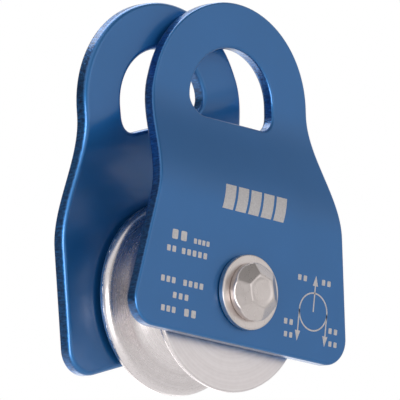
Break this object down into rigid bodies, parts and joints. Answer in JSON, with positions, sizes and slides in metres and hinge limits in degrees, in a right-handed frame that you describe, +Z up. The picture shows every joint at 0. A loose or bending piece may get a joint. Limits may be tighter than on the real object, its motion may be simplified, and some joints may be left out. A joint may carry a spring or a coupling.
{
  "type": "rope pulley",
  "caption": "Small swing-cheek rope pulley: two joggled cheek plates with D-shaped connector eyes turn about one axle, either side of a grooved sheave on ball bearings.",
  "frame": {"origin": "centre of the rear cheek's connector eye, on the mid-plane between the cheeks", "axes": "+Y along the axle from the front (marked) cheek to the rear cheek; +Z up, with the eyes above the sheave; +X to the right seen from the front"},
  "size_m": [0.067, 0.04, 0.0886],
  "materials": {
    "blue_anodised": "satin blue anodised",
    "turned_aluminium": "satin, fine-turned",
    "stainless": "satin stainless steel",
    "bearing_steel": "ground and polished bearing steel",
    "bronze": "plain machined bearing bronze"
  },
  "bodies": {
    "rear_cheek": {"rear_cheek_plate": "blue_anodised"},
    "front_cheek": {"front_cheek_plate": "blue_anodised"},
    "axle": {"axle_bolt": "stainless", "axle_cap_nut": "stainless", "bearing_spacer": "stainless", "front_outer_washer": "stainless", "front_cheek_sleeve": "bronze", "front_thrust_washer": "bronze", "front_inner_ring": "bearing_steel", "rear_outer_washer": "stainless", "rear_cheek_sleeve": "bronze", "rear_thrust_washer": "bronze", "rear_inner_ring": "bearing_steel"},
    "wheel": {"sheave": "turned_aluminium", "front_outer_ring": "bearing_steel", "front_outer_shield": "bearing_steel", "front_inner_shield": "bearing_steel", "rear_outer_ring": "bearing_steel", "rear_outer_shield": "bearing_steel", "rear_inner_shield": "bearing_steel"},
    "front_ball_set": {"front_ball_cage": "bearing_steel", "front_ball_1": "bearing_steel", "front_ball_2": "bearing_steel", "front_ball_3": "bearing_steel", "front_ball_4": "bearing_steel", "front_ball_5": "bearing_steel", "front_ball_6": "bearing_steel", "front_ball_7": "bearing_steel"},
    "rear_ball_set": {"rear_ball_cage": "bearing_steel", "rear_ball_1": "bearing_steel", "rear_ball_2": "bearing_steel", "rear_ball_3": "bearing_steel", "rear_ball_4": "bearing_steel", "rear_ball_5": "bearing_steel", "rear_ball_6": "bearing_steel", "rear_ball_7": "bearing_steel"}
  },
  "joints": [
    {"name": "axle_turn", "type": "hinge", "parent": "rear_cheek", "child": "axle", "pos_m": [0.01107, 0, -0.04248], "axis": [0, 1, 0], "continuous": true},
    {"name": "front_cheek_swing", "type": "hinge", "parent": "rear_cheek", "child": "front_cheek", "pos_m": [0.01107, 0, -0.04248], "axis": [0, 1, 0], "continuous": true},
    {"name": "sheave_spin", "type": "hinge", "parent": "axle", "child": "wheel", "pos_m": [0.01107, 0, -0.04248], "axis": [0, 1, 0], "continuous": true},
    {"name": "front_ball_set_roll", "type": "hinge", "parent": "axle", "child": "front_ball_set", "pos_m": [0.01107, 0, -0.04248], "axis": [0, 1, 0], "continuous": true},
    {"name": "rear_ball_set_roll", "type": "hinge", "parent": "axle", "child": "rear_ball_set", "pos_m": [0.01107, 0, -0.04248], "axis": [0, 1, 0], "continuous": true}
  ],
  "couplings": [
    {"joint": "front_ball_set_roll", "follows": "sheave_spin", "ratio": 0.6323},
    {"joint": "rear_ball_set_roll", "follows": "sheave_spin", "ratio": 0.6323}
  ]
}
